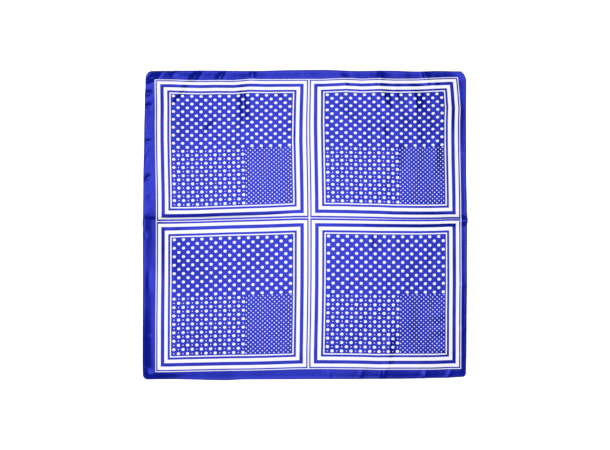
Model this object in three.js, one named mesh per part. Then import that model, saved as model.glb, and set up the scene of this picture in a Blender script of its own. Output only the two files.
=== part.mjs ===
// A square satin scarf, opened out and laid flat with its printed face up.
// It keeps the creases that its packed folding left in it, and lies flat between them.
// Millimetres, +Z up. The origin is on the surface, below the middle of the cloth.

import * as THREE from 'three';

// Driving dimensions
const WIDTH = 900;
const DEPTH = 860;
const CLOTH_THICKNESS = 1.2;
const HEM_THICKNESS = 1.8;
const HEM_WIDTH = 5;
const HEM_STEP = 1.5;

// How much of every fold the cloth's own weight presses flat: what is lower than this lies on the surface
const SETTLING = 0.3;

// The faces of the mesh: even lines, closer ones inside each edge, and closer ones along the middle fold
const MESH_PITCH = 34;
const MESH_CLEARANCE = 7;
const EDGE_LINES = [0, HEM_WIDTH, HEM_WIDTH + HEM_STEP, 13, 21, 30];
const MIDDLE_FOLD_LINES = [-30, -12, -2, 6, 13, 20, 28, 36];

// How far the edge lies inside the straight side, by the place along that side
const LEFT_EDGE = [
  { at: -430, inset: 1.0 },
  { at: -380, inset: 0.0 },
  { at: -150, inset: 0.7 },
  { at: -8, inset: 0.9 },
  { at: 7, inset: 0.1 },
  { at: 22, inset: 1.0 },
  { at: 115, inset: 1.8 },
  { at: 250, inset: 4.2 },
  { at: 350, inset: 6.1 },
  { at: 400, inset: 8.4 },
  { at: 430, inset: 11.0 },
];
const RIGHT_EDGE = [
  { at: -430, inset: 4.4 },
  { at: -330, inset: 2.8 },
  { at: -150, inset: 1.4 },
  { at: -10, inset: 1.2 },
  { at: 15, inset: 0.0 },
  { at: 40, inset: 1.5 },
  { at: 150, inset: 3.6 },
  { at: 320, inset: 3.9 },
  { at: 404, inset: 3.6 },
  { at: 430, inset: 12.0 },
];
const TOP_EDGE = [
  { at: -450, inset: 4.0 },
  { at: -400, inset: 2.8 },
  { at: -284, inset: 2.2 },
  { at: -151, inset: 3.1 },
  { at: -20, inset: 0.6 },
  { at: 50, inset: 0.0 },
  { at: 150, inset: 3.2 },
  { at: 231, inset: 2.2 },
  { at: 330, inset: 4.7 },
  { at: 370, inset: 3.1 },
  { at: 450, inset: 4.2 },
];
const BOTTOM_EDGE = [
  { at: -450, inset: 2.6 },
  { at: -367, inset: 3.0 },
  { at: -220, inset: 0.0 },
  { at: -165, inset: 2.4 },
  { at: 100, inset: 3.2 },
  { at: 264, inset: 4.0 },
  { at: 380, inset: 6.5 },
  { at: 450, inset: 9.6 },
];

// The round of each corner
const CORNER_RADIUS = { topLeft: 16, topRight: 10, bottomLeft: 14, bottomRight: 10 };

// The fold across the middle, from left to right: its crest's place and rise, half of the crest's flat,
// the width of the steep lip above the crest, and the width of its whole slope above and below
const MIDDLE_FOLD = [
  { x: -450, y: 12, rise: 2.4, flat: 0, lip: 20, above: 30, below: 130 },
  { x: -420, y: 14.5, rise: 4.8, flat: 0, lip: 9, above: 26, below: 170 },
  { x: -380, y: 15.5, rise: 7.6, flat: 0, lip: 5.8, above: 21, below: 200 },
  { x: -324, y: 16.8, rise: 9.2, flat: 0, lip: 4.8, above: 20, below: 220 },
  { x: -269, y: 18.2, rise: 8.8, flat: 0, lip: 4.8, above: 20, below: 220 },
  { x: -213, y: 19.5, rise: 7, flat: 0, lip: 5.4, above: 20, below: 200 },
  { x: -158, y: 21.2, rise: 6.2, flat: 0, lip: 7.4, above: 20, below: 180 },
  { x: -103, y: 22.2, rise: 4.2, flat: 0, lip: 11, above: 20, below: 130 },
  { x: -47, y: 23.6, rise: 1.5, flat: 0, lip: 15, above: 20, below: 90 },
  { x: -10, y: 19, rise: 0, flat: 0, lip: 20, above: 20, below: 40 },
  { x: 40, y: 17, rise: 0, flat: 3, lip: 20, above: 20, below: 20 },
  { x: 120, y: 15.5, rise: 1.4, flat: 4, lip: 20, above: 22, below: 20 },
  { x: 250, y: 14, rise: 2.8, flat: 4, lip: 20, above: 22, below: 18 },
  { x: 340, y: 13, rise: 4.4, flat: 4, lip: 20, above: 22, below: 18 },
  { x: 410, y: 13, rise: 5.6, flat: 3, lip: 18, above: 20, below: 17 },
  { x: 436, y: 12.5, rise: 6.4, flat: 2, lip: 13, above: 16, below: 13 },
  { x: 450, y: 12, rise: 7.2, flat: 1, lip: 8, above: 9, below: 8 },
];
const LIP_SHARE = 0.62;

// Each border falls to the surface at its edge: the width of the fall and of the slope behind it, and the rise
// by the place along the side
const BORDER_FALLS = [
  {
    side: 'left',
    fall: 24,
    back: 110,
    rises: [
      { at: -430, rise: 3.4 },
      { at: -300, rise: 3 },
      { at: -200, rise: 1.8 },
      { at: -120, rise: 0.5 },
      { at: 60, rise: 0.2 },
      { at: 300, rise: 0.2 },
      { at: 430, rise: 1 },
    ],
  },
  {
    side: 'right',
    fall: 20,
    back: 100,
    rises: [
      { at: -430, rise: 3 },
      { at: -300, rise: 2.8 },
      { at: -200, rise: 1.9 },
      { at: -100, rise: 1 },
      { at: 60, rise: 0.6 },
      { at: 180, rise: 0.7 },
      { at: 260, rise: 1.2 },
      { at: 315, rise: 1.2 },
      { at: 360, rise: 0.5 },
      { at: 430, rise: 0.5 },
    ],
  },
  {
    side: 'top',
    fall: 24,
    back: 90,
    rises: [
      { at: -450, rise: 1.6 },
      { at: -240, rise: 1 },
      { at: -150, rise: 1.4 },
      { at: -80, rise: 0.6 },
      { at: 80, rise: 0.5 },
      { at: 200, rise: 1.2 },
      { at: 330, rise: 1.4 },
      { at: 450, rise: 0.8 },
    ],
  },
  {
    side: 'bottom',
    fall: 22,
    back: 100,
    rises: [
      { at: -450, rise: 1.4 },
      { at: -390, rise: 0.7 },
      { at: -100, rise: 0.4 },
      { at: 60, rise: 0.6 },
      { at: 150, rise: 1.3 },
      { at: 240, rise: 2.1 },
      { at: 450, rise: 2.7 },
    ],
  },
];

// The main creases: the middle of each, its direction in degrees from +X, half of its length, half of its
// width, its rise, and the edges that it runs towards: the sides or the ends
const CREASES = [
  { x: -419, y: 409, turn: 30, reach: 34, spread: 11, rise: 5, across: 'end' },
  { x: -303, y: 412, turn: 50, reach: 30, spread: 12, rise: 5.2, across: 'end' },
  { x: -334, y: 366, turn: 66, reach: 44, spread: 14, rise: 2.6, across: 'end' },
  { x: -235, y: 412, turn: 55, reach: 24, spread: 12, rise: 4, across: 'end' },
  { x: -146, y: 418, turn: 84, reach: 24, spread: 15, rise: 3.6, across: 'end' },
  { x: -170, y: 345, turn: 90, reach: 74, spread: 19, rise: 4.8, across: 'end' },
  { x: -36, y: 262, turn: 82, reach: 72, spread: 23, rise: 2.4, across: 'end' },
  { x: 108, y: 398, turn: 110, reach: 44, spread: 19, rise: 2, across: 'end' },
  { x: 207, y: 412, turn: 100, reach: 28, spread: 14, rise: 4.6, across: 'end' },
  { x: 214, y: 366, turn: 109, reach: 58, spread: 18, rise: 4.2, across: 'end' },
  { x: 304, y: 352, turn: 96, reach: 44, spread: 23, rise: 4.6, across: 'end' },
  { x: 334, y: 412, turn: 108, reach: 30, spread: 13, rise: 4.8, across: 'end' },
  { x: 366, y: 200, turn: 90, reach: 60, spread: 19, rise: 1.7, across: 'end' },
  { x: 233, y: -352, turn: 87, reach: 70, spread: 16, rise: 3.4, across: 'end' },
  { x: 218, y: -416, turn: 80, reach: 30, spread: 12, rise: 4.4, across: 'end' },
  { x: 330, y: -418, turn: 70, reach: 24, spread: 12, rise: 4, across: 'end' },
  { x: 398, y: -416, turn: 60, reach: 26, spread: 13, rise: 2.2, across: 'end' },
  { x: -434, y: 364, turn: 20, reach: 20, spread: 11, rise: 4.4, across: 'side' },
  { x: -434, y: 330, turn: 10, reach: 18, spread: 11, rise: 4, across: 'side' },
  { x: -438, y: 131, turn: 30, reach: 18, spread: 12, rise: 3, across: 'side' },
  { x: -436, y: -408, turn: 140, reach: 30, spread: 14, rise: 2.4, across: 'side' },
  { x: 440, y: -290, turn: 176, reach: 20, spread: 14, rise: 1.6, across: 'side' },
  { x: 440, y: -360, turn: 172, reach: 20, spread: 14, rise: 1.4, across: 'side' },
];
const CREASE_SHARPNESS = 1.4;

// The corners curl up off the surface within a short way of their tips
const CURLS = [
  { x: -443, y: 424, reach: 46, rise: 6.0 },
  { x: 446, y: 424, reach: 34, rise: 2.6 },
  { x: -448, y: -426, reach: 38, rise: 3.0 },
];

const PRINT_BLUE = 0x2f2cbf;

function smooth(part) {
  return THREE.MathUtils.smoothstep(part, 0, 1);
}

// The value of a table column at a place, eased from row to row
function tableValue(table, place, at, column) {
  if (at <= table[0][place]) {
    return table[0][column];
  }
  for (let row = 1; row < table.length; row += 1) {
    const from = table[row - 1];
    const to = table[row];
    if (at <= to[place]) {
      const part = (at - from[place]) / (to[place] - from[place]);
      return THREE.MathUtils.lerp(from[column], to[column], smooth(part));
    }
  }
  return table[table.length - 1][column];
}

// A soft hump's section, from 1 at its middle to 0 at its foot
function bump(out) {
  return (1 - Math.min(Math.abs(out), 1) ** 2) ** 2;
}

function middleFoldHeight(x, y) {
  const value = (column) => tableValue(MIDDLE_FOLD, 'x', x, column);
  const across = y - value('y');
  const out = Math.max(0, Math.abs(across) - value('flat'));
  if (across <= 0) {
    return value('rise') * (1 - smooth(out / value('below')));
  }
  const fallen = THREE.MathUtils.lerp(smooth(out / value('above')), smooth(out / value('lip')), LIP_SHARE);
  return value('rise') * (1 - fallen);
}

function borderHeight(x, y) {
  const places = {
    left: { inside: WIDTH / 2 + x, along: y },
    right: { inside: WIDTH / 2 - x, along: y },
    top: { inside: DEPTH / 2 - y, along: x },
    bottom: { inside: DEPTH / 2 + y, along: x },
  };
  const falls = BORDER_FALLS.map(({ side, fall }) => smooth(places[side].inside / fall));
  const heights = BORDER_FALLS.map(({ side, fall, back, rises }) => {
    const { inside, along } = places[side];
    return tableValue(rises, 'at', along, 'rise') * (1 - smooth((inside - fall) / back));
  });
  return Math.min(...falls) * Math.max(...heights);
}

function creaseHeight(crease, x, y) {
  const turn = THREE.MathUtils.degToRad(crease.turn);
  const along = (x - crease.x) * Math.cos(turn) + (y - crease.y) * Math.sin(turn);
  const across = (y - crease.y) * Math.cos(turn) - (x - crease.x) * Math.sin(turn);
  const section = Math.max(0, 1 - Math.abs(across) / crease.spread) ** CREASE_SHARPNESS;
  return crease.rise * section * bump(along / crease.reach);
}

function curlHeight(curl, x, y) {
  return curl.rise * bump(Math.hypot(x - curl.x, y - curl.y) / curl.reach);
}

// The height of the underside above the surface: none where the cloth lies on it
function liftHeight(x, y) {
  const creases = CREASES.reduce((sum, crease) => sum + creaseHeight(crease, x, y), 0);
  const curls = CURLS.reduce((sum, curl) => sum + curlHeight(curl, x, y), 0);
  return Math.max(0, middleFoldHeight(x, y) + borderHeight(x, y) + creases + curls - SETTLING);
}

// Lines of the mesh across one side: the hem's at both ends, close ones at the folds, even ones between
function meshLines(length, closeLines) {
  const half = length / 2;
  const lines = EDGE_LINES.flatMap((inset) => [inset - half, half - inset]);
  const addLine = (at, clearance) => {
    if (lines.every((line) => Math.abs(line - at) >= clearance)) {
      lines.push(at);
    }
  };
  closeLines.forEach((at) => addLine(at, MESH_CLEARANCE));
  const count = Math.round(length / MESH_PITCH);
  for (let step = 1; step < count; step += 1) {
    addLine((length * step) / count - half, MESH_PITCH / 2);
  }
  return lines.sort((a, b) => a - b);
}

// The cloth's outline and corners: where a point of the plain rectangle lies in the real cloth
function layOut(x, y) {
  const halfX = WIDTH / 2;
  const halfY = DEPTH / 2;
  const side = x < 0 ? 'Left' : 'Right';
  const radius = CORNER_RADIUS[(y < 0 ? 'bottom' : 'top') + side];
  const nearX = Math.max(0, Math.abs(x) - (halfX - radius)) / radius;
  const nearY = Math.max(0, Math.abs(y) - (halfY - radius)) / radius;
  const roundX = radius * nearX * (1 - Math.sqrt(1 - nearY ** 2 / 2));
  const roundY = radius * nearY * (1 - Math.sqrt(1 - nearX ** 2 / 2));
  const left = tableValue(LEFT_EDGE, 'at', y, 'inset');
  const right = tableValue(RIGHT_EDGE, 'at', y, 'inset');
  const top = tableValue(TOP_EDGE, 'at', x, 'inset');
  const bottom = tableValue(BOTTOM_EDGE, 'at', x, 'inset');
  const insetX = THREE.MathUtils.lerp(left, -right, (x + halfX) / WIDTH);
  const insetY = THREE.MathUtils.lerp(bottom, -top, (y + halfY) / DEPTH);
  return { x: x - Math.sign(x) * roundX + insetX, y: y - Math.sign(y) * roundY + insetY };
}

function sheetThickness(x, y) {
  const fromEdge = Math.min(WIDTH / 2 - Math.abs(x), DEPTH / 2 - Math.abs(y));
  return fromEdge <= HEM_WIDTH ? HEM_THICKNESS : CLOTH_THICKNESS;
}

// One closed sheet: its underside, its top face and the thin wall round its edge
function sheetGeometry(columns, rows) {
  const positions = [];
  for (const face of ['under', 'top']) {
    for (const y of rows) {
      for (const x of columns) {
        const place = layOut(x, y);
        const lift = liftHeight(place.x, place.y);
        positions.push(place.x, place.y, face === 'top' ? lift + sheetThickness(x, y) : lift);
      }
    }
  }
  const across = columns.length;
  const faceSize = across * rows.length;
  const indices = [];
  const addQuad = (a, b, c, d) => indices.push(a, b, c, a, c, d);
  for (let row = 0; row + 1 < rows.length; row += 1) {
    for (let column = 0; column + 1 < across; column += 1) {
      const under = row * across + column;
      const top = faceSize + under;
      addQuad(under, under + across, under + across + 1, under + 1);
      addQuad(top, top + 1, top + across + 1, top + across);
    }
  }
  const addWall = (from, to) => addQuad(from, to, faceSize + to, faceSize + from);
  const lastRow = faceSize - across;
  for (let column = 0; column + 1 < across; column += 1) {
    addWall(column, column + 1);
    addWall(lastRow + column + 1, lastRow + column);
  }
  for (let row = 0; row + 1 < rows.length; row += 1) {
    addWall((row + 1) * across, row * across);
    addWall(row * across + across - 1, (row + 1) * across + across - 1);
  }
  const geometry = new THREE.BufferGeometry();
  geometry.setAttribute('position', new THREE.Float32BufferAttribute(positions, 3));
  geometry.setIndex(indices);
  geometry.computeVertexNormals();
  return geometry;
}

// Close mesh lines: along the middle of every crease that crosses a side or an end, then beside it
function creaseLines(across, place) {
  const creases = CREASES.filter((crease) => crease.across === across);
  const beside = creases.flatMap((crease) => [crease[place] - crease.spread, crease[place] + crease.spread]);
  return [...creases.map((crease) => crease[place]), ...beside];
}

function buildCloth() {
  const columns = meshLines(WIDTH, creaseLines('end', 'x'));
  const rows = meshLines(DEPTH, [...MIDDLE_FOLD_LINES, ...creaseLines('side', 'y')]);
  const material = new THREE.MeshStandardMaterial({ color: PRINT_BLUE, roughness: 0.45, metalness: 0 });
  const cloth = new THREE.Mesh(sheetGeometry(columns, rows), material);
  cloth.name = 'scarf_cloth';
  return cloth;
}

const scarf = new THREE.Group();
scarf.add(buildCloth());

export default scarf;
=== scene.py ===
"""A square satin scarf, laid out flat with its printed face up: its looks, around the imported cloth.

Metres, +Z up, as the model that it loads. The cloth is one thin closed mesh with its turned hem, its folds
and its fine creases. The print is worked out in the material from the cloth's own print coordinates.
"""

import bpy
import numpy as np
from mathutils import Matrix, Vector, noise


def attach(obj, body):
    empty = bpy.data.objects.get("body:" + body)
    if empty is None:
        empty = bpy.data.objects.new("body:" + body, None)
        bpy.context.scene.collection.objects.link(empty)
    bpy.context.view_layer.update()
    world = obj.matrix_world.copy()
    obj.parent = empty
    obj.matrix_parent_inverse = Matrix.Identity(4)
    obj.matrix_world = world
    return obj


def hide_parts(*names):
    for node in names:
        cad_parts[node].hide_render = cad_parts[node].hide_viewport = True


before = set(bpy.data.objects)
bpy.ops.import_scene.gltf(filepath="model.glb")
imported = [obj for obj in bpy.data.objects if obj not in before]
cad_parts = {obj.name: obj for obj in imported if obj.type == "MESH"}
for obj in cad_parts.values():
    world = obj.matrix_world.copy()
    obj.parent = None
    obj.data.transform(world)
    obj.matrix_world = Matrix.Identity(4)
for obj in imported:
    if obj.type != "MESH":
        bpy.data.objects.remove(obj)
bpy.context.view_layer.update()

# The cloth as it lies
WIDTH = 0.900
DEPTH = 0.860
CLOTH_THICKNESS = 0.0004

# The turned hem: where it steps down to the single cloth and over what width, how far its underside turns up
# behind the step, how wide its rounded edge is, and the square of that edge's least part of the thickness
HEM_THICKNESS = 0.0011
HEM_STEP_PLACE = 0.0046
HEM_STEP_WIDTH = 0.0016
HEM_TURN_UNDER = 0.0003
HEM_ROUND = 0.0013
HEM_EDGE_SQUARE = 0.12

# The hem's stitches, and the groove in which they lie
STITCH_INSET = 0.0040
STITCH_PITCH = 0.0030
STITCH_LENGTH = 0.0022
STITCH_RADIUS = 0.00020
STITCH_SIDES = 5
GROOVE_DEPTH = 0.00022
GROOVE_HALF_WIDTH = 0.0011
# Rings along a stitch: place as part of its length, part of its radius, height above the cloth
STITCH_RINGS = (
    (-0.50, 0.35, 0.00000),
    (-0.28, 0.95, 0.00012),
    (0.00, 1.00, 0.00016),
    (0.28, 0.95, 0.00012),
    (0.50, 0.35, 0.00000),
)

# The mesh's lines: their even pitch, the closer rows along the middle fold with the gap before them, and the
# lines along the hem by their distance inside the edge
PITCH_X = 0.0042
PITCH_Y = 0.0044
FOLD_PITCH = 0.0014
FOLD_REACH = (0.002, 0.040)
FOLD_CLEARANCE = PITCH_Y / 3
HEM_LINES = (0.0, 0.0005, 0.0013, 0.0024, 0.0034, 0.0040, 0.0046, 0.0051, 0.0062, 0.0082, 0.0112)

# The flat map of the cloth, as parts of the map: the cloth's share and margin. The wall round the edge lies
# in a narrow strip outside it, and a place this far off the map's middle is on the edge
MAP_SHARE = 0.96
MAP_MARGIN = 0.02
MAP_STRIP = 0.004
MAP_EDGE = 0.43

# How far the edge lies inside the straight side: place along that side, inset
LEFT_EDGE = (
    (-0.430, 0.0010),
    (-0.380, 0.0000),
    (-0.150, 0.0007),
    (-0.008, 0.0009),
    (0.007, 0.0001),
    (0.022, 0.0010),
    (0.115, 0.0018),
    (0.250, 0.0042),
    (0.350, 0.0061),
    (0.400, 0.0084),
    (0.430, 0.0110),
)
RIGHT_EDGE = (
    (-0.430, 0.0044),
    (-0.330, 0.0028),
    (-0.150, 0.0014),
    (-0.010, 0.0012),
    (0.015, 0.0000),
    (0.040, 0.0015),
    (0.150, 0.0036),
    (0.320, 0.0039),
    (0.404, 0.0036),
    (0.430, 0.0120),
)
TOP_EDGE = (
    (-0.450, 0.0040),
    (-0.400, 0.0028),
    (-0.284, 0.0022),
    (-0.151, 0.0031),
    (-0.020, 0.0006),
    (0.050, 0.0000),
    (0.150, 0.0032),
    (0.231, 0.0022),
    (0.330, 0.0047),
    (0.370, 0.0031),
    (0.450, 0.0042),
)
BOTTOM_EDGE = (
    (-0.450, 0.0026),
    (-0.367, 0.0030),
    (-0.220, 0.0000),
    (-0.165, 0.0024),
    (0.100, 0.0032),
    (0.264, 0.0040),
    (0.380, 0.0065),
    (0.450, 0.0096),
)
CORNER_RADIUS = {"top_left": 0.016, "top_right": 0.010, "bottom_left": 0.014, "bottom_right": 0.010}

# The fold across the middle: x, y of its crest, rise, half of the crest's flat, width of the steep lip above
# it, of the whole slope above and of the slope below
MIDDLE_FOLD = (
    (-0.450, 0.0120, 0.0024, 0.000, 0.0200, 0.030, 0.130),
    (-0.420, 0.0145, 0.0048, 0.000, 0.0090, 0.026, 0.170),
    (-0.380, 0.0155, 0.0076, 0.000, 0.0058, 0.021, 0.200),
    (-0.324, 0.0168, 0.0092, 0.000, 0.0048, 0.020, 0.220),
    (-0.269, 0.0182, 0.0088, 0.000, 0.0048, 0.020, 0.220),
    (-0.213, 0.0195, 0.0070, 0.000, 0.0054, 0.020, 0.200),
    (-0.158, 0.0212, 0.0066, 0.000, 0.0070, 0.020, 0.180),
    (-0.103, 0.0222, 0.0042, 0.000, 0.0110, 0.020, 0.130),
    (-0.047, 0.0236, 0.0015, 0.000, 0.0150, 0.020, 0.090),
    (-0.010, 0.0190, 0.0000, 0.000, 0.0200, 0.020, 0.040),
    (0.040, 0.0170, 0.0000, 0.003, 0.0200, 0.020, 0.020),
    (0.120, 0.0155, 0.0014, 0.004, 0.0200, 0.022, 0.020),
    (0.250, 0.0140, 0.0026, 0.004, 0.0200, 0.022, 0.018),
    (0.340, 0.0130, 0.0040, 0.004, 0.0200, 0.022, 0.018),
    (0.410, 0.0130, 0.0050, 0.003, 0.0180, 0.020, 0.017),
    (0.436, 0.0125, 0.0064, 0.002, 0.0130, 0.016, 0.013),
    (0.450, 0.0120, 0.0072, 0.001, 0.0080, 0.009, 0.008),
)
# The steep lip's share of the fold's height
LIP_SHARE = 0.66

# The border falls to the surface at its edge. For each side: how wide the fall is, how wide the slope behind
# it is, and the rise by the place along the side
BORDER_FALLS = {
    "left": (0.026, 0.110, (
        (-0.430, 0.0050), (-0.300, 0.0042), (-0.200, 0.0020), (-0.120, 0.0002), (0.060, 0.0001),
        (0.300, 0.0001), (0.430, 0.0009),
    )),
    "right": (0.020, 0.100, (
        (-0.430, 0.0025), (-0.300, 0.0023), (-0.200, 0.0014), (-0.100, 0.0004), (0.060, 0.0001),
        (0.180, 0.0001), (0.260, 0.0006), (0.315, 0.0006), (0.360, 0.0001), (0.430, 0.0001),
    )),
    "top": (0.024, 0.090, (
        (-0.450, 0.0015), (-0.240, 0.0008), (-0.150, 0.0010), (-0.080, 0.0003), (0.080, 0.0002),
        (0.200, 0.0006), (0.330, 0.0008), (0.450, 0.0003),
    )),
    "bottom": (0.022, 0.100, (
        (-0.450, 0.0012), (-0.390, 0.0005), (-0.100, 0.0001), (0.060, 0.0002), (0.150, 0.0010),
        (0.240, 0.0018), (0.450, 0.0023),
    )),
}

# Creases: x, y of the middle, direction in degrees from +X, half length, half width, rise
CREASES = (
    # top border and the upper left panel
    (-0.419, 0.409, 30, 0.034, 0.0100, 0.0074),
    (-0.360, 0.420, 20, 0.018, 0.0110, 0.0030),
    (-0.303, 0.412, 50, 0.028, 0.0115, 0.0076),
    (-0.341, 0.360, 57, 0.048, 0.0150, 0.0040),
    (-0.262, 0.270, 50, 0.032, 0.0200, 0.0020),
    (-0.242, 0.238, 50, 0.020, 0.0130, 0.0015),
    (-0.235, 0.412, 55, 0.022, 0.0120, 0.0046),
    (-0.146, 0.418, 84, 0.024, 0.0150, 0.0036),
    (-0.170, 0.332, 90, 0.100, 0.0250, 0.0046),
    (-0.074, 0.353, 100, 0.030, 0.0190, 0.0016),
    (-0.036, 0.262, 82, 0.072, 0.0230, 0.0024),
    # top border and the upper right panel
    (0.108, 0.398, 110, 0.044, 0.0190, 0.0020),
    (0.207, 0.412, 100, 0.028, 0.0140, 0.0050),
    (0.214, 0.362, 109, 0.062, 0.0250, 0.0044),
    (0.252, 0.366, 90, 0.040, 0.0150, 0.0020),
    (0.304, 0.350, 96, 0.050, 0.0290, 0.0050),
    (0.310, 0.262, 92, 0.050, 0.0210, 0.0011),
    (0.219, 0.258, 100, 0.030, 0.0200, 0.0015),
    (0.257, 0.205, 88, 0.090, 0.0240, 0.0013),
    (0.3656, 0.200, 90, 0.060, 0.0210, 0.0013),
    (0.334, 0.412, 108, 0.030, 0.0130, 0.0060),
    (0.362, 0.394, 60, 0.022, 0.0150, 0.0026),
    (0.406, 0.290, 86, 0.050, 0.0150, 0.0016),
    # left border
    (-0.434, 0.364, 20, 0.017, 0.0100, 0.0048),
    (-0.434, 0.330, 10, 0.015, 0.0100, 0.0044),
    (-0.436, 0.230, 6, 0.014, 0.0110, 0.0024),
    (-0.440, 0.184, 80, 0.014, 0.0090, 0.0012),
    (-0.438, 0.131, 30, 0.016, 0.0120, 0.0030),
    (-0.430, 0.076, 10, 0.014, 0.0110, 0.0011),
    (-0.442, -0.030, 80, 0.016, 0.0100, 0.0012),
    (-0.432, -0.152, 90, 0.046, 0.0140, 0.0016),
    (-0.438, -0.310, 20, 0.020, 0.0140, 0.0014),
    # bottom border and the lower right panel
    (-0.436, -0.408, 140, 0.030, 0.0140, 0.0024),
    (0.065, -0.418, 90, 0.024, 0.0120, 0.0016),
    (0.154, -0.418, 80, 0.024, 0.0120, 0.0018),
    (0.218, -0.416, 80, 0.030, 0.0120, 0.0050),
    (0.233, -0.352, 87, 0.070, 0.0160, 0.0034),
    (0.330, -0.418, 70, 0.024, 0.0120, 0.0042),
    (0.398, -0.416, 60, 0.026, 0.0130, 0.0022),
    (0.181, -0.048, 92, 0.040, 0.0180, 0.0013),
    (0.372, -0.250, 8, 0.050, 0.0280, 0.0011),
    (0.378, -0.290, 4, 0.044, 0.0260, 0.0012),
    (0.386, -0.346, 170, 0.040, 0.0260, 0.0011),
    # right border
    (0.440, 0.200, 0, 0.016, 0.0110, 0.0012),
    (0.440, -0.165, 176, 0.018, 0.0130, 0.0014),
    (0.440, -0.290, 176, 0.020, 0.0140, 0.0016),
    (0.440, -0.360, 172, 0.020, 0.0140, 0.0014),
)
CREASE_SHARPNESS = 1.8
# How far the creases wander off their straight lines, over what length, and the noise's layers for x and y
CREASE_WANDER = 0.0035
CREASE_WANDER_LENGTH = 0.050
CREASE_WANDER_LAYERS = (3, 4)

# Corners that curl up off the surface: x, y, reach, rise
CURLS = (
    (-0.443, 0.424, 0.046, 0.0060),
    (0.446, 0.424, 0.034, 0.0026),
    (-0.448, -0.426, 0.038, 0.0030),
)

# A slight swell of the whole cloth: its waves' height, how much of it lies flat, and the waves' start and
# lengths
SWELL_RISE = 0.0006
SWELL_DROP = 0.0004
SWELL_PHASE = 1
SWELL_LENGTH_X = 0.560
SWELL_LENGTH_Y = 0.700
SWELL_LENGTH_DIAGONAL = 0.900

# Fine creases: wavelength across, wavelength along, height
WRINKLES = (
    (0.048, 0.075, 0.00110),
    (0.024, 0.034, 0.00050),
    (0.012, 0.016, 0.00014),
)
# How high the cloth lies in the middle of its fine creases
WRINKLE_LIFT = 0.0009
# How far apart the noise's layers lie
NOISE_LAYER_STEP = 7.3
# How strong the fine creases are by the place up the cloth
WRINKLE_STRENGTH = ((-0.430, 0.6), (-0.300, 0.5), (-0.050, 0.5), (0.150, 0.7), (0.300, 1.0), (0.430, 1.0))

# Where the print's bands lie on the cloth: x, then y of the bottom, lower, upper and top band
PRINT_ROWS = (
    (-0.375, -0.3872, -0.0107, 0.0256, 0.3860),
    (-0.331, -0.3862, -0.0094, 0.0260, 0.3844),
    (-0.287, -0.3853, -0.0082, 0.0270, 0.3836),
    (-0.243, -0.3843, -0.0068, 0.0289, 0.3844),
    (-0.198, -0.3835, -0.0053, 0.0303, 0.3839),
    (-0.152, -0.3830, -0.0043, 0.0319, 0.3877),
    (-0.107, -0.3820, -0.0030, 0.0333, 0.3867),
    (-0.020, -0.3792, 0.0000, 0.0376, 0.3873),
    (0.047, -0.3787, 0.0004, 0.0384, 0.3873),
    (0.113, -0.3792, -0.0002, 0.0375, 0.3902),
    (0.158, -0.3798, -0.0007, 0.0363, 0.3879),
    (0.202, -0.3810, -0.0015, 0.0355, 0.3897),
    (0.246, -0.3805, -0.0017, 0.0336, 0.3878),
    (0.312, -0.3805, -0.0021, 0.0329, 0.3882),
    (0.357, -0.3803, -0.0015, 0.0329, 0.3907),
    (0.401, -0.3785, 0.0001, 0.0339, 0.3925),
)
# The same for its upright bands: y, then x of the left, middle left, middle right and right band
PRINT_COLUMNS = (
    (-0.355, -0.3945, -0.0108, 0.0291, 0.4124),
    (-0.246, -0.3943, -0.0092, 0.0313, 0.4127),
    (-0.160, -0.3936, -0.0082, 0.0325, 0.4135),
    (-0.025, -0.3927, -0.0081, 0.0329, 0.4130),
    (0.080, -0.3929, -0.0086, 0.0323, 0.4122),
    (0.170, -0.3947, -0.0102, 0.0307, 0.4104),
    (0.236, -0.3959, -0.0117, 0.0296, 0.4093),
    (0.280, -0.3960, -0.0111, 0.0288, 0.4093),
    (0.325, -0.3957, -0.0102, 0.0292, 0.4106),
    (0.369, -0.3963, -0.0087, 0.0294, 0.4075),
    (0.396, -0.3966, -0.0083, 0.0298, 0.4050),
    (0.420, -0.3970, -0.0080, 0.0300, 0.4025),
)
# Where the same bands lie in the print's own coordinates. The two more for Q are the white band on the
# fold's lip
BAND_P = (-0.4038, -0.0200, 0.0200, 0.4038)
BAND_Q = (-0.3964, -0.0188, 0.0049, 0.0139, 0.0188, 0.3964)
# Where the white band on the fold's lip starts and ends: x, parts of the way from the lower to the upper band
LIP_PRINT = (
    (-0.450, 0.700, 0.850),
    (-0.380, 0.710, 0.845),
    (-0.120, 0.700, 0.855),
    (-0.040, 0.675, 0.870),
    (0.060, 0.635, 0.870),
    (0.450, 0.630, 0.870),
)
# How much shorter the print looks in the top border
TOP_BORDER_SCALE = 0.86
# How far the print's even spacing bows within the left, right, lower and upper panels
PANEL_BOW_P = (0.0060, -0.0128)
PANEL_BOW_Q = (0.0033, -0.0181)

# The print: a panel's field, then the stripes round it, each as where it starts outside the field and its
# shade, 1 for white and 0 for blue. The field itself ends at the first
FIELD_MIDDLE = (0.2119, 0.2076)
FIELD_HALF = (0.1678, 0.1647)
STRIPES = (
    (0.0004, 1),
    (0.0036, 0),
    (0.0098, 1),
    (0.0192, 0),
    (0.0290, 1),
    (0.0380, 0),
    (0.0418, 1),
    (0.0439, 0),
)
STRIPES_END = 0.050
# The blue lines along the middle fold are bolder: where they start and end off its middle. Towards the right
# side, between two places, they close up
CROSS_LINE = (0.0010, 0.0060)
CROSS_LINE_CLOSING = (0.100, 0.280)
CROSS_LINE_CLOSED = 0.0006
# Half the width of a soft edge of the print, and how far its edges waver
INK_EDGE = 0.00025
SHAKE = 0.0007

# The dots: one lattice for the large and middle zones, a finer one for the small zone
DOT_PITCH = (0.02565, 0.02345)
DOT_START = (0.0075, 0.0064)
SMALL_PITCH = (0.012825, 0.011725)
SMALL_START = (0.2083, 0.1723)
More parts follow.
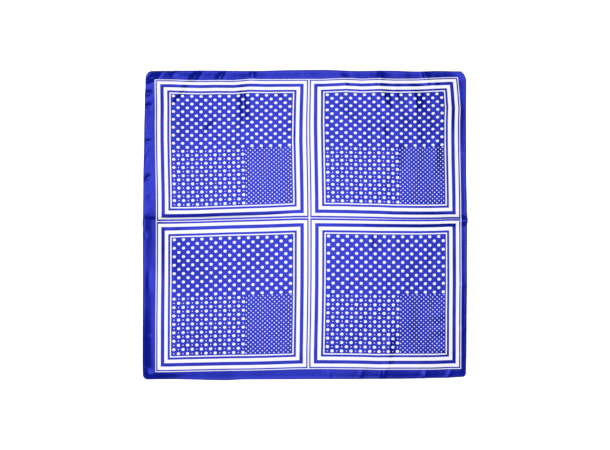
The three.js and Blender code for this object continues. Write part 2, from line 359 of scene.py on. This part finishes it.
# Where a panel's right and lower zones start
ZONE_P = 0.2056
ZONE_Q = 0.1636
LARGE_DOT = (0.0044, 0.0039)
MIDDLE_DOT = (0.0044, 0.0040)
TINY_DOT = (0.0017, 0.0016)
TINY_DOT_STRENGTH = 0.6
SMALL_DOT = (0.0016, 0.0016)

# The satin's finish. The shares are those of a colour in its darkest or lightest places, and the flecks'
# share in the changes of the blue
BLUE = (0.0010, 0.0070, 0.236, 1)
WHITE = (0.80, 0.79, 0.86, 1)
DARK_BLUE_SHARE = 0.86
LIGHT_BLUE_SHARE = 1.14
DARK_WHITE_SHARE = 0.96
FLECK_SHARE = 0.35
BLUE_METALLIC = 0.22
WHITE_METALLIC = 0.0
ROUGHNESS = 0.27
ROUGHNESS_SPREAD = 0.05
SATIN_SPECULAR = 0.10
SATIN_SHEEN = 0.02
SATIN_SHEEN_ROUGHNESS = 0.4
WEAVE_STRENGTH = 0.25
WEAVE_DEPTH = 0.0001
# Its noises: scale, detail, and for drawn out ones the scale along each axis
SHAKE_NOISE = (900, 2)
CLOUD_NOISE = (9, 3)
FLECK_NOISE = (420, 2)
THREAD_NOISE = (1, 1, (2600, 380, 1))
SLUB_NOISE = (1, 2, (700, 60, 1))

# The stitches' finish, with noises as above
THREAD_COLOR = (0.020, 0.030, 0.330, 1)
DARK_THREAD_SHARE = 0.75
THREAD_ROUGHNESS = 0.5
THREAD_SPECULAR = 0.3
THREAD_SHADE_NOISE = (160, 2)
TWIST_NOISE = (3000, 1)
TWIST_STRENGTH = 0.3
TWIST_DEPTH = 0.0001

# The camera looks straight down
CAMERA_PLACE = (-0.00014, 0.00008, 5.0)
CAMERA_SENSOR = 36
CAMERA_LENS = 106.49

# The stage: a white floor, an even sky and one round softbox over the cloth
FLOOR_SIZE = 8.0
FLOOR_DROP = 0.0005
FLOOR_COLOR = (0.95, 0.95, 0.95, 1)
FLOOR_ROUGHNESS = 0.9
FLOOR_SPECULAR = 0.1
FLOOR_GLOW = 0.25
WORLD_COLOR = (0.97, 0.98, 1.00, 1)
WORLD_STRENGTH = 0.40
SOFTBOX_PLACE = (-0.12, 0.06, 2.3)
SOFTBOX_SIZE = 1.5
SOFTBOX_POWER = 50


def smooth(part):
    """Eased from 0 to 1, and level past both."""
    part = np.clip(part, 0, 1)
    return part * part * (3 - 2 * part)


def table_value(table, at, column, eased=True):
    """The value of a table's column at a place, from row to row."""
    rows = np.array(table, float)
    places = rows[:, 0]
    at = np.clip(at, places[0], places[-1])
    index = np.clip(np.searchsorted(places, at), 1, len(places) - 1)
    part = (at - places[index - 1]) / (places[index] - places[index - 1])
    if eased:
        part = smooth(part)
    return rows[index - 1, column] + (rows[index, column] - rows[index - 1, column]) * part


def bump(out):
    """A soft hump's section, from 1 at its middle to 0 at its foot."""
    return (1 - np.clip(np.abs(out), 0, 1) ** 2) ** 2


def local(x, y, place_x, place_y, turn):
    """Distances along and across a line through a place, with its direction in degrees."""
    turn = np.radians(turn)
    along = (x - place_x) * np.cos(turn) + (y - place_y) * np.sin(turn)
    across = (y - place_y) * np.cos(turn) - (x - place_x) * np.sin(turn)
    return along, across


def middle_fold_height(x, y):
    across = y - table_value(MIDDLE_FOLD, x, 1)
    rise, flat, lip, above, below = (table_value(MIDDLE_FOLD, x, column) for column in (2, 3, 4, 5, 6))
    out = np.maximum(np.abs(across) - flat, 0)
    upper = 1 - LIP_SHARE * smooth(out / lip) - (1 - LIP_SHARE) * smooth(out / above)
    return rise * np.where(across > 0, upper, 1 - smooth(out / below))


def crease_height(x, y):
    length = CREASE_WANDER_LENGTH
    wander = [fine_noise(x, y, length, length, layer) for layer in CREASE_WANDER_LAYERS]
    x, y = x + CREASE_WANDER * wander[0], y + CREASE_WANDER * wander[1]
    total = np.zeros_like(x)
    for place_x, place_y, turn, reach, spread, rise in CREASES:
        along, across = local(x, y, place_x, place_y, turn)
        section = (1 - np.clip(np.abs(across) / spread, 0, 1)) ** CREASE_SHARPNESS
        total += rise * section * bump(along / reach)
    return total


def border_height(x, y):
    half_x, half_y = WIDTH / 2, DEPTH / 2
    sides = {
        "top": (half_y - y, x),
        "bottom": (half_y + y, x),
        "left": (half_x + x, y),
        "right": (half_x - x, y),
    }
    fallen, total = np.ones_like(x), np.zeros_like(x)
    for side, (inside, along) in sides.items():
        fall, back, rises = BORDER_FALLS[side]
        part = np.clip(inside / fall, 0, 1)
        fallen = np.minimum(fallen, part * (1 + part * (1 - part)))
        total = np.maximum(total, table_value(rises, along, 1) * (1 - smooth((inside - fall) / back)))
    return fallen * total


def curl_height(x, y):
    total = np.zeros_like(x)
    for place_x, place_y, reach, rise in CURLS:
        total += rise * bump(np.hypot(x - place_x, y - place_y) / reach)
    return total


def swell_height(x, y):
    turn_x = 2 * np.pi * x / SWELL_LENGTH_X + SWELL_PHASE
    turn_y = 2 * np.pi * y / SWELL_LENGTH_Y
    turn_diagonal = 2 * np.pi * (x + y) / SWELL_LENGTH_DIAGONAL
    height = SWELL_RISE * (np.sin(turn_x) * np.cos(turn_y) + np.sin(turn_diagonal) / 2) - SWELL_DROP
    return np.maximum(height, 0)


def fine_noise(x, y, across, along, layer):
    """Smooth noise from about -1 to 1, as long as it is wide or drawn out along Y."""
    places = zip((x / across).ravel(), (y / along).ravel())
    height = layer * NOISE_LAYER_STEP
    return np.array([noise.noise(Vector((a, b, height))) for a, b in places]).reshape(x.shape)


def wrinkle_height(x, y):
    total = np.full(x.shape, WRINKLE_LIFT)
    strength = table_value(WRINKLE_STRENGTH, y, 1)
    for layer, (across, along, height) in enumerate(WRINKLES):
        total += height * strength * fine_noise(x, y, across, along, layer)
    return np.maximum(total, 0)


def lift_height(x, y):
    """The height of the cloth's underside above the surface."""
    raised = middle_fold_height(x, y) + curl_height(x, y) + swell_height(x, y)
    raised += border_height(x, y) + crease_height(x, y)
    return np.maximum(raised + wrinkle_height(x, y), 0)


def lay_out(x, y):
    """The cloth's outline and corners: where a point of the plain rectangle lies in the real cloth."""
    half_x, half_y = WIDTH / 2, DEPTH / 2
    radius = np.where(
        y < 0,
        np.where(x < 0, CORNER_RADIUS["bottom_left"], CORNER_RADIUS["bottom_right"]),
        np.where(x < 0, CORNER_RADIUS["top_left"], CORNER_RADIUS["top_right"]),
    )
    near_x = np.maximum(0, np.abs(x) - (half_x - radius)) / radius
    near_y = np.maximum(0, np.abs(y) - (half_y - radius)) / radius
    round_x = radius * near_x * (1 - np.sqrt(1 - near_y**2 / 2))
    round_y = radius * near_y * (1 - np.sqrt(1 - near_x**2 / 2))
    left, right = table_value(LEFT_EDGE, y, 1), table_value(RIGHT_EDGE, y, 1)
    top, bottom = table_value(TOP_EDGE, x, 1), table_value(BOTTOM_EDGE, x, 1)
    inset_x = left + (-right - left) * (x + half_x) / WIDTH
    inset_y = bottom + (-top - bottom) * (y + half_y) / DEPTH
    return x - np.sign(x) * round_x + inset_x, y - np.sign(y) * round_y + inset_y


def mesh_lines(length, pitch):
    """Lines of the mesh across one side: close ones along the hem, even ones between."""
    half = length / 2
    near = np.array(HEM_LINES)
    inner = half - near[-1]
    even = np.linspace(-inner, inner, round(2 * inner / pitch) + 1)[1:-1]
    return np.concatenate([near - half, even, (half - near)[::-1]])


def knot_value(at, knots, values):
    """Piecewise linear through knots that differ from place to place, carried on past the ends."""
    result = np.zeros_like(at)
    for index in range(len(knots) - 1):
        part = (at - knots[index]) / (knots[index + 1] - knots[index])
        value = values[index] + (values[index + 1] - values[index]) * part
        result = np.where((at >= knots[index]) | (index == 0), value, result)
    return result


def hump(at, low, high):
    """Rises and falls again between two places, to a quarter in the middle."""
    part = np.clip((at - low) / (high - low), 0, 1)
    return part * (1 - part)


def print_places(x, y):
    """The print's own coordinates, P to the right and Q up from the middle of its cross."""
    rows = [table_value(PRINT_ROWS, x, column, eased=False) for column in (1, 2, 3, 4)]
    columns = [table_value(PRINT_COLUMNS, y, column, eased=False) for column in (1, 2, 3, 4)]
    p = knot_value(x, columns, BAND_P)
    p = np.where(x < columns[0], BAND_P[0] + x - columns[0], p)
    p = np.where(x > columns[3], BAND_P[3] + x - columns[3], p)
    low, lower, upper, high = rows
    lip = [lower + (upper - lower) * table_value(LIP_PRINT, x, column, eased=False) for column in (1, 2)]
    q = knot_value(y, [low, lower, *lip, upper, high], BAND_Q)
    p += sum(bow * hump(x, columns[2 * side], columns[2 * side + 1]) for side, bow in enumerate(PANEL_BOW_P))
    q += sum(bow * hump(y, rows[2 * side], rows[2 * side + 1]) for side, bow in enumerate(PANEL_BOW_Q))
    q = np.where(y < low, BAND_Q[0] + y - low, q)
    q = np.where(y > high, BAND_Q[-1] + (y - high) / TOP_BORDER_SCALE, q)
    return p, q


def past_hem(inside):
    """0 on the turned hem and 1 on the single cloth, by the distance inside the edge."""
    return smooth((inside - HEM_STEP_PLACE) / HEM_STEP_WIDTH)


def cloth_thickness(inside):
    """Thickness by the distance inside the edge: the rounded, stitched hem, then the single cloth."""
    square = 1 - (1 - np.clip(inside / HEM_ROUND, 0, 1)) ** 2
    rounded = np.sqrt(np.clip(square, HEM_EDGE_SQUARE, 1))
    turned = CLOTH_THICKNESS + (HEM_THICKNESS - CLOTH_THICKNESS) * (1 - past_hem(inside))
    groove = GROOVE_DEPTH * bump((inside - STITCH_INSET) / GROOVE_HALF_WIDTH)
    return turned * rounded - groove


def cloth_surface(x, y):
    """Places of the cloth's top face and underside over points of the plain rectangle."""
    place_x, place_y = lay_out(x, y)
    lift = lift_height(place_x, place_y)
    inside = np.minimum(WIDTH / 2 - np.abs(x), DEPTH / 2 - np.abs(y))
    turn_under = HEM_TURN_UNDER * past_hem(inside)
    thickness = np.maximum(cloth_thickness(inside), turn_under + CLOTH_THICKNESS)
    top = np.stack([place_x, place_y, lift + thickness], -1)
    under = np.stack([place_x, place_y, lift + turn_under], -1)
    return top, under


def add_object(name, data):
    made = bpy.data.objects.new(name, data)
    bpy.context.scene.collection.objects.link(made)
    return made


def smooth_mesh(name, places, faces):
    """A mesh whose faces are all shaded smooth."""
    mesh = bpy.data.meshes.new(name)
    mesh.from_pydata(places, [], faces)
    mesh.polygons.foreach_set("use_smooth", [True] * len(faces))
    return mesh


def add_piece(mesh):
    mesh.validate()
    mesh.update()
    return add_object(mesh.name, mesh)


def cloth_faces(shape):
    """The cloth's faces over a grid of points: its underside, the wall round its edge, its top face."""
    number = np.arange(shape[0] * shape[1]).reshape(shape)
    low_left, low_right = number[:-1, :-1].ravel(), number[:-1, 1:].ravel()
    high_left, high_right = number[1:, :-1].ravel(), number[1:, 1:].ravel()
    under = np.stack([low_left, high_left, high_right, low_right], 1)
    top = np.stack([low_left, low_right, high_right, high_left], 1) + number.size
    ring = np.concatenate([number[0, :-1], number[:-1, -1], number[-1, :0:-1], number[:0:-1, 0]])
    after = np.roll(ring, -1)
    wall = np.stack([ring, after, after + number.size, ring + number.size], 1)
    return under, wall, top


def cloth_map(x, y, faces, wall_start, wall_count):
    """The flat map's place for every corner of the cloth's faces."""
    map_u = (x.ravel() / WIDTH + 0.5) * MAP_SHARE + MAP_MARGIN
    map_v = (y.ravel() / WIDTH + 0.5) * MAP_SHARE + MAP_MARGIN
    flat_map = np.stack([map_u, map_v], 1)
    corner_map = np.concatenate([flat_map, flat_map])[faces.ravel()].reshape(-1, 4, 2)
    wall_foot = corner_map[wall_start:wall_start + wall_count, :2]
    off_middle = wall_foot - 0.5
    wall_foot += MAP_STRIP * np.sign(off_middle) * (np.abs(off_middle) > MAP_EDGE)
    return corner_map


def make_cloth():
    columns, rows = mesh_lines(WIDTH, PITCH_X), mesh_lines(DEPTH, PITCH_Y)
    low, high = FOLD_REACH
    fold_rows = np.linspace(low, high, round((high - low) / FOLD_PITCH) + 1)
    away = (rows < low - FOLD_CLEARANCE) | (rows > high + FOLD_CLEARANCE)
    rows = np.sort(np.concatenate([rows[away], fold_rows]))
    x, y = np.meshgrid(columns, rows)
    top, under = cloth_surface(x, y)
    places = np.concatenate([under.reshape(-1, 3), top.reshape(-1, 3)])
    under_faces, wall_faces, top_faces = cloth_faces(x.shape)
    faces = np.concatenate([under_faces, wall_faces, top_faces])
    mesh = smooth_mesh("printed_cloth", places.tolist(), faces.tolist())

    p, q = print_places(places[:, 0], places[:, 1])
    attribute = mesh.attributes.new("print", "FLOAT_VECTOR", "POINT")
    attribute.data.foreach_set("vector", np.stack([p, q, np.zeros_like(p)], 1).ravel())
    corner_map = cloth_map(x, y, faces, len(under_faces), len(wall_faces))
    layer = mesh.uv_layers.new(name="OFBake")
    layer.data.foreach_set("uv", corner_map.ravel())
    return add_piece(mesh)


def stitch_faces():
    """The faces of one stitch: from ring to ring, then its two ends."""
    faces = []
    for low in range(0, (len(STITCH_RINGS) - 1) * STITCH_SIDES, STITCH_SIDES):
        high = low + STITCH_SIDES
        for side in range(STITCH_SIDES):
            after = (side + 1) % STITCH_SIDES
            faces.append((low + side, high + side, high + after, low + after))
    last = len(STITCH_RINGS) * STITCH_SIDES - 1
    return faces + [tuple(range(STITCH_SIDES)), tuple(range(last, last - STITCH_SIDES, -1))]


def make_stitches():
    """The hem's row of stitches, all in one mesh, along the top face."""
    half_x, half_y = WIDTH / 2 - STITCH_INSET, DEPTH / 2 - STITCH_INSET
    corners = np.array([(-half_x, -half_y), (half_x, -half_y), (half_x, half_y), (-half_x, half_y)])
    middles, ways = [], []
    for start, end in zip(corners, np.roll(corners, -1, axis=0)):
        length = np.linalg.norm(end - start)
        count = int(length / STITCH_PITCH)
        middles.append(start + (end - start) * (np.arange(count)[:, None] + 0.5) / count)
        ways.append(np.tile((end - start) / length, (count, 1)))
    middles, ways = np.concatenate(middles), np.concatenate(ways)

    side = np.stack([-ways[:, 1], ways[:, 0], np.zeros(len(ways))], 1)
    places = []
    for part, radius, height in STITCH_RINGS:
        flat = middles + ways * STITCH_LENGTH * part
        top, _ = cloth_surface(flat[:, 0], flat[:, 1])
        for turn in 2 * np.pi * np.arange(STITCH_SIDES) / STITCH_SIDES:
            place = top + side * (STITCH_RADIUS * radius * np.cos(turn))
            place[:, 2] += height + STITCH_RADIUS * radius * np.sin(turn)
            places.append(place)

    one_stitch = stitch_faces()
    faces = [
        tuple(number * len(places) + corner for corner in face)
        for number in range(len(middles))
        for face in one_stitch
    ]
    return add_piece(smooth_mesh("hem_stitches", np.stack(places, 1).reshape(-1, 3).tolist(), faces))


def shaded(color, share):
    """A colour made darker or lighter."""
    return tuple(share * value for value in color[:3]) + (1,)


def set_inputs(node, values):
    for name, value in values.items():
        node.inputs[name].default_value = value


class Pattern:
    """Short names for the nodes of a material's pattern. An input is a socket or a number."""

    def __init__(self, tree):
        self.tree = tree

    def node(self, kind, **settings):
        made = self.tree.nodes.new(kind)
        for name, value in settings.items():
            setattr(made, name, value)
        return made

    def put(self, socket, value):
        if isinstance(value, bpy.types.NodeSocket):
            self.tree.links.new(value, socket)
        else:
            socket.default_value = value

    def math(self, operation, *inputs):
        made = self.node("ShaderNodeMath", operation=operation)
        for socket, value in zip(made.inputs, inputs):
            self.put(socket, value)
        return made.outputs[0]

    def blend(self, part, first, second):
        """A number between two numbers."""
        made = self.node("ShaderNodeMix", data_type="FLOAT")
        for socket, value in zip((made.inputs[0], made.inputs[2], made.inputs[3]), (part, first, second)):
            self.put(socket, value)
        return made.outputs[0]

    def colors(self, part, first, second):
        """A colour between two colours."""
        made = self.node("ShaderNodeMix", data_type="RGBA")
        for socket, value in zip((made.inputs[0], made.inputs[6], made.inputs[7]), (part, first, second)):
            self.put(socket, value)
        return made.outputs[2]

    def noise(self, vector, scale, detail, stretch=None):
        if stretch:
            mapping = self.node("ShaderNodeMapping")
            self.put(mapping.inputs["Scale"], stretch)
            self.put(mapping.inputs["Vector"], vector)
            vector = mapping.outputs[0]
        made = self.node("ShaderNodeTexNoise")
        self.put(made.inputs["Vector"], vector)
        set_inputs(made, {"Scale": scale, "Detail": detail})
        return made.outputs["Fac"]

    def relief(self, height, strength, distance):
        """A normal bent by fine relief."""
        made = self.node("ShaderNodeBump")
        set_inputs(made, {"Strength": strength, "Distance": distance})
        self.put(made.inputs["Height"], height)
        return made.outputs[0]

    def in_range(self, value, source, target=(0, 1), kind="SMOOTHSTEP"):
        """A number moved from one range to another."""
        made = self.node("ShaderNodeMapRange", interpolation_type=kind)
        self.put(made.inputs["Value"], value)
        set_inputs(made, dict(zip(("From Min", "From Max", "To Min", "To Max"), (*source, *target))))
        return made.outputs[0]

    def inside(self, distance, edge):
        """1 where a distance is below 0 and 0 where it is above, with a soft edge."""
        return self.in_range(distance, (edge, -edge))

    def off_field(self, place, middle, half):
        """How far a place on either side of the print's middle lies outside the nearest field."""
        off_middle = self.math("SUBTRACT", self.math("ABSOLUTE", place), middle)
        return self.math("SUBTRACT", self.math("ABSOLUTE", off_middle), half)

    def stripes(self, outside):
        """A frame's stripes, by the distance outside its field."""
        ramp = self.node("ShaderNodeValToRGB")
        self.put(ramp.inputs["Fac"], self.math("DIVIDE", outside, STRIPES_END))
        stops = ramp.color_ramp.elements
        shades = [shade for _, shade in STRIPES]
        for stop, place, shade in ((stops[0], 0, shades[0]), (stops[-1], 1, shades[-1])):
            stop.position = place
            stop.color = (shade, shade, shade, 1)
        for index in range(1, len(STRIPES)):
            at = STRIPES[index][0]
            for place, shade in ((at - INK_EDGE, shades[index - 1]), (at + INK_EDGE, shades[index])):
                stops.new(place / STRIPES_END).color = (shade, shade, shade, 1)
        return ramp.outputs["Color"]

    def dots(self, p, q, start, pitch, size):
        """Dots at every place of a lattice."""
        squares = []
        for axis, place in enumerate((p, q)):
            from_start = self.math("SUBTRACT", place, start[axis])
            near = self.math("WRAP", from_start, pitch[axis] / 2, -pitch[axis] / 2)
            squares.append(self.math("POWER", self.math("DIVIDE", near, size[axis]), 2))
        reach = self.math("SQRT", self.math("ADD", *squares))
        return self.inside(self.math("SUBTRACT", reach, 1), INK_EDGE / size[0])

    def dots_and_between(self, p, q, start, pitch, size):
        """Dots at every place of a lattice and in the middle of each of its cells."""
        between = (start[0] + pitch[0] / 2, start[1] + pitch[1] / 2)
        return self.math(
            "MAXIMUM", self.dots(p, q, start, pitch, size), self.dots(p, q, between, pitch, size)
        )


def panel_dots(pattern, p, q):
    """A panel's dots, in its own coordinates: from its field's left side, and down from its field's top."""
    math = pattern.math
    right_panel = math("MULTIPLY", math("GREATER_THAN", p, 0), 2 * FIELD_MIDDLE[0])
    panel_p = math("SUBTRACT", math("ADD", p, FIELD_MIDDLE[0] + FIELD_HALF[0]), right_panel)
    lower_panel = math("MULTIPLY", math("LESS_THAN", q, 0), 2 * FIELD_MIDDLE[1])
    panel_q = math("SUBTRACT", math("SUBTRACT", FIELD_MIDDLE[1] + FIELD_HALF[1], q), lower_panel)
    large = pattern.dots_and_between(panel_p, panel_q, DOT_START, DOT_PITCH, LARGE_DOT)
    middle = pattern.dots_and_between(panel_p, panel_q, DOT_START, DOT_PITCH, MIDDLE_DOT)
    empty = (DOT_START[0] + DOT_PITCH[0] / 2, DOT_START[1])
    tiny = pattern.dots_and_between(panel_p, panel_q, empty, DOT_PITCH, TINY_DOT)
    middle = math("MAXIMUM", middle, math("MULTIPLY", tiny, TINY_DOT_STRENGTH))
    small = pattern.dots_and_between(panel_p, panel_q, SMALL_START, SMALL_PITCH, SMALL_DOT)
    lower = pattern.blend(math("GREATER_THAN", panel_p, ZONE_P), middle, small)
    return pattern.blend(math("GREATER_THAN", panel_q, ZONE_Q), large, lower)


def white_part(pattern, p, q):
    """1 where the print leaves the cloth white, 0 where it is blue."""
    math = pattern.math
    side_p = pattern.off_field(p, FIELD_MIDDLE[0], FIELD_HALF[0])
    side_q = pattern.off_field(q, FIELD_MIDDLE[1], FIELD_HALF[1])
    outside = math("MAXIMUM", side_p, side_q)

    from_middle = math("ABSOLUTE", q)
    closed = pattern.in_range(p, CROSS_LINE_CLOSING, (0, CROSS_LINE_CLOSED))
    inner_edge = math("SUBTRACT", CROSS_LINE[0], closed)
    bold = math(
        "MULTIPLY",
        pattern.inside(math("SUBTRACT", from_middle, CROSS_LINE[1]), INK_EDGE),
        pattern.inside(math("SUBTRACT", inner_edge, from_middle), INK_EDGE),
    )
    along_fold = math("GREATER_THAN", side_q, side_p)
    beside_bold = math("SUBTRACT", 1, math("MULTIPLY", bold, along_fold))
    stripes = math("MULTIPLY", pattern.stripes(outside), beside_bold)

    in_field = pattern.inside(math("SUBTRACT", outside, STRIPES[0][0]), INK_EDGE)
    return pattern.blend(in_field, stripes, panel_dots(pattern, p, q))


def new_material(name):
    """A material, its pattern and its shader."""
    material = bpy.data.materials.new(name)
    material.use_nodes = True
    tree = material.node_tree
    return material, Pattern(tree), tree.nodes["Principled BSDF"]


def printed_satin():
    """The cloth's finish: its print, the satin's thread and sheen, and small changes of colour."""
    material, pattern, shader = new_material("printed_satin")
    place = pattern.node("ShaderNodeAttribute", attribute_name="print").outputs["Vector"]
    parts = pattern.node("ShaderNodeSeparateXYZ")
    pattern.put(parts.inputs[0], place)
    p, q = parts.outputs[0], parts.outputs[1]

    shake = pattern.math("SUBTRACT", pattern.noise(place, *SHAKE_NOISE), 0.5)
    shake = pattern.math("MULTIPLY", shake, SHAKE)
    white = white_part(pattern, pattern.math("ADD", p, shake), pattern.math("SUBTRACT", q, shake))

    cloud = pattern.noise(place, *CLOUD_NOISE)
    fleck = pattern.noise(place, *FLECK_NOISE)
    mottle = pattern.blend(FLECK_SHARE, cloud, fleck)
    blue = pattern.colors(mottle, shaded(BLUE, DARK_BLUE_SHARE), shaded(BLUE, LIGHT_BLUE_SHARE))
    pale = pattern.colors(cloud, shaded(WHITE, DARK_WHITE_SHARE), WHITE)
    pattern.put(shader.inputs["Base Color"], pattern.colors(white, blue, pale))

    rough = (ROUGHNESS - ROUGHNESS_SPREAD, ROUGHNESS + ROUGHNESS_SPREAD)
    pattern.put(shader.inputs["Roughness"], pattern.in_range(fleck, (0, 1), rough, "LINEAR"))
    weave = pattern.math("ADD", pattern.noise(place, *THREAD_NOISE), pattern.noise(place, *SLUB_NOISE))
    pattern.put(shader.inputs["Normal"], pattern.relief(weave, WEAVE_STRENGTH, WEAVE_DEPTH))
    pattern.put(shader.inputs["Metallic"], pattern.blend(white, BLUE_METALLIC, WHITE_METALLIC))
    set_inputs(shader, {
        "Specular IOR Level": SATIN_SPECULAR,
        "Sheen Weight": SATIN_SHEEN,
        "Sheen Roughness": SATIN_SHEEN_ROUGHNESS,
    })
    return material


def stitch_thread():
    """The stitches' finish: a twisted blue thread."""
    material, pattern, shader = new_material("stitch_thread")
    place = pattern.node("ShaderNodeTexCoord").outputs["Object"]
    shade = pattern.noise(place, *THREAD_SHADE_NOISE)
    dark = shaded(THREAD_COLOR, DARK_THREAD_SHARE)
    pattern.put(shader.inputs["Base Color"], pattern.colors(shade, dark, THREAD_COLOR))
    twist = pattern.noise(place, *TWIST_NOISE)
    pattern.put(shader.inputs["Normal"], pattern.relief(twist, TWIST_STRENGTH, TWIST_DEPTH))
    set_inputs(shader, {"Roughness": THREAD_ROUGHNESS, "Specular IOR Level": THREAD_SPECULAR})
    return material


def make_stage():
    mesh = bpy.data.meshes.new("floor")
    half = FLOOR_SIZE / 2
    corners = [(-half, -half, 0), (half, -half, 0), (half, half, 0), (-half, half, 0)]
    mesh.from_pydata(corners, [], [(0, 1, 2, 3)])
    floor = add_object("floor", mesh)
    floor.location.z = -FLOOR_DROP
    material, _, shader = new_material("floor_paint")
    set_inputs(shader, {
        "Base Color": FLOOR_COLOR,
        "Roughness": FLOOR_ROUGHNESS,
        "Emission Color": FLOOR_COLOR,
        "Emission Strength": FLOOR_GLOW,
        "Specular IOR Level": FLOOR_SPECULAR,
    })
    mesh.materials.append(material)

    world = bpy.data.worlds.new("studio")
    world.use_nodes = True
    set_inputs(world.node_tree.nodes["Background"], {"Color": WORLD_COLOR, "Strength": WORLD_STRENGTH})
    bpy.context.scene.world = world

    light = bpy.data.lights.new("softbox", "AREA")
    light.shape = "DISK"
    light.size = SOFTBOX_SIZE
    light.energy = SOFTBOX_POWER
    lamp = add_object("softbox", light)
    lamp.location = SOFTBOX_PLACE
    lamp.rotation_euler = Vector(SOFTBOX_PLACE).to_track_quat("Z", "Y").to_euler()


def make_camera():
    data = bpy.data.cameras.new("camera")
    data.sensor_width = CAMERA_SENSOR
    data.lens = CAMERA_LENS
    camera = add_object("camera", data)
    camera.location = CAMERA_PLACE
    bpy.context.scene.camera = camera


make_camera()
make_stage()
bpy.context.scene.view_settings.view_transform = "Standard"

cloth = make_cloth()
cloth.data.materials.append(printed_satin())
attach(cloth, "root")
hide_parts("scarf_cloth")

stitches = make_stitches()
stitches.data.materials.append(stitch_thread())
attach(stitches, "root")
